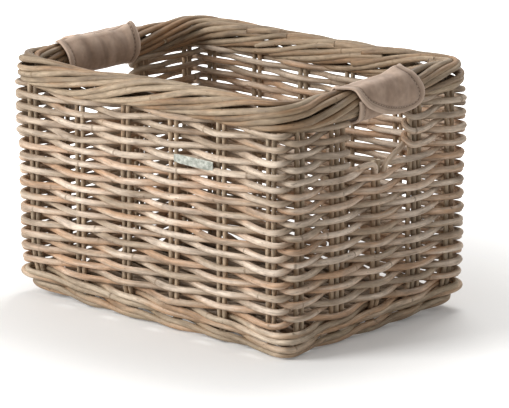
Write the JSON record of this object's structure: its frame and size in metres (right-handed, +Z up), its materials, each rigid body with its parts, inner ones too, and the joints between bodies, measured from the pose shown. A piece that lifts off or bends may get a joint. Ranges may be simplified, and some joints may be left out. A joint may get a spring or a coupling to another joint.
{
  "type": "bicycle basket",
  "caption": "Open rectangular basket of woven rattan rods with a twisted rim, a handhold in each short side and a leather wrap with a hinged flap over each handhold.",
  "frame": {"origin": "on the ground under the middle of the basket", "axes": "+X along the length towards one handhold, +Y from the front long side to the back one, +Z up"},
  "size_m": [0.4664, 0.33, 0.2963],
  "materials": {
    "stake_rattan": "weathered peeled rattan, matt",
    "weaver_rattan": "weathered peeled rattan, grey-brown, matt to slightly waxy",
    "foot_rattan": "weathered peeled rattan, matt",
    "base_rattan": "weathered peeled rattan, matt",
    "rim_rattan": "weathered peeled rattan, grey-brown, matt to slightly waxy",
    "grip_leather": "smooth matt taupe leather with a stitched hem",
    "closure_tape": "hook-and-loop tape",
    "plate_metal": "dull grey plate, bare"
  },
  "bodies": {
    "basket": {"stake_front_1": "stake_rattan", "stake_front_2": "stake_rattan", "stake_front_3": "stake_rattan", "stake_front_4": "stake_rattan", "stake_front_5": "stake_rattan", "stake_front_6": "stake_rattan", "stake_right_1": "stake_rattan", "stake_right_2": "stake_rattan", "stake_right_3": "stake_rattan", "stake_right_4": "stake_rattan", "stake_right_5": "stake_rattan", "stake_back_1": "stake_rattan", "stake_back_2": "stake_rattan", "stake_back_3": "stake_rattan", "stake_back_4": "stake_rattan", "stake_back_5": "stake_rattan", "stake_back_6": "stake_rattan", "stake_left_1": "stake_rattan", "stake_left_2": "stake_rattan", "stake_left_3": "stake_rattan", "stake_left_4": "stake_rattan", "stake_left_5": "stake_rattan", "wall_weaver_a1": "weaver_rattan", "wall_weaver_a2": "weaver_rattan", "wall_weaver_a3": "weaver_rattan", "wall_weaver_b1": "weaver_rattan", "wall_weaver_b2": "weaver_rattan", "wall_weaver_b3": "weaver_rattan", "upper_front_weaver_1": "weaver_rattan", "upper_back_weaver_1": "weaver_rattan", "upper_front_weaver_2": "weaver_rattan", "upper_back_weaver_2": "weaver_rattan", "foot_rod_1": "foot_rattan", "foot_rod_2": "foot_rattan", "foot_rod_3": "foot_rattan", "foot_rod_4": "foot_rattan", "base_stick_1": "base_rattan", "base_stick_2": "base_rattan", "base_stick_3": "base_rattan", "base_stick_4": "base_rattan", "base_stick_5": "base_rattan", "base_weaver": "base_rattan", "rim_rod_1": "rim_rattan", "rim_rod_2": "rim_rattan", "rim_rod_3": "rim_rattan", "rim_rod_4": "rim_rattan", "rim_rod_5": "rim_rattan", "rim_rod_6": "rim_rattan", "rim_rod_7": "rim_rattan", "rim_rod_8": "rim_rattan", "grip_right_sleeve": "grip_leather", "grip_right_loop_patch": "closure_tape", "grip_left_sleeve": "grip_leather", "grip_left_loop_patch": "closure_tape", "tag_plate": "plate_metal"},
    "flap_right": {"grip_right_flap": "grip_leather", "grip_right_hook_patch": "closure_tape"},
    "flap_left": {"grip_left_flap": "grip_leather", "grip_left_hook_patch": "closure_tape"}
  },
  "joints": [
    {"name": "flap_right_hinge", "type": "hinge", "parent": "basket", "child": "flap_right", "pos_m": [0.20846, 0, 0.29431], "axis": [0, -1, 0], "range_deg": [0, 110]},
    {"name": "flap_left_hinge", "type": "hinge", "parent": "basket", "child": "flap_left", "pos_m": [-0.20846, -0.017, 0.29431], "axis": [0, 1, 0], "range_deg": [0, 110]}
  ]
}
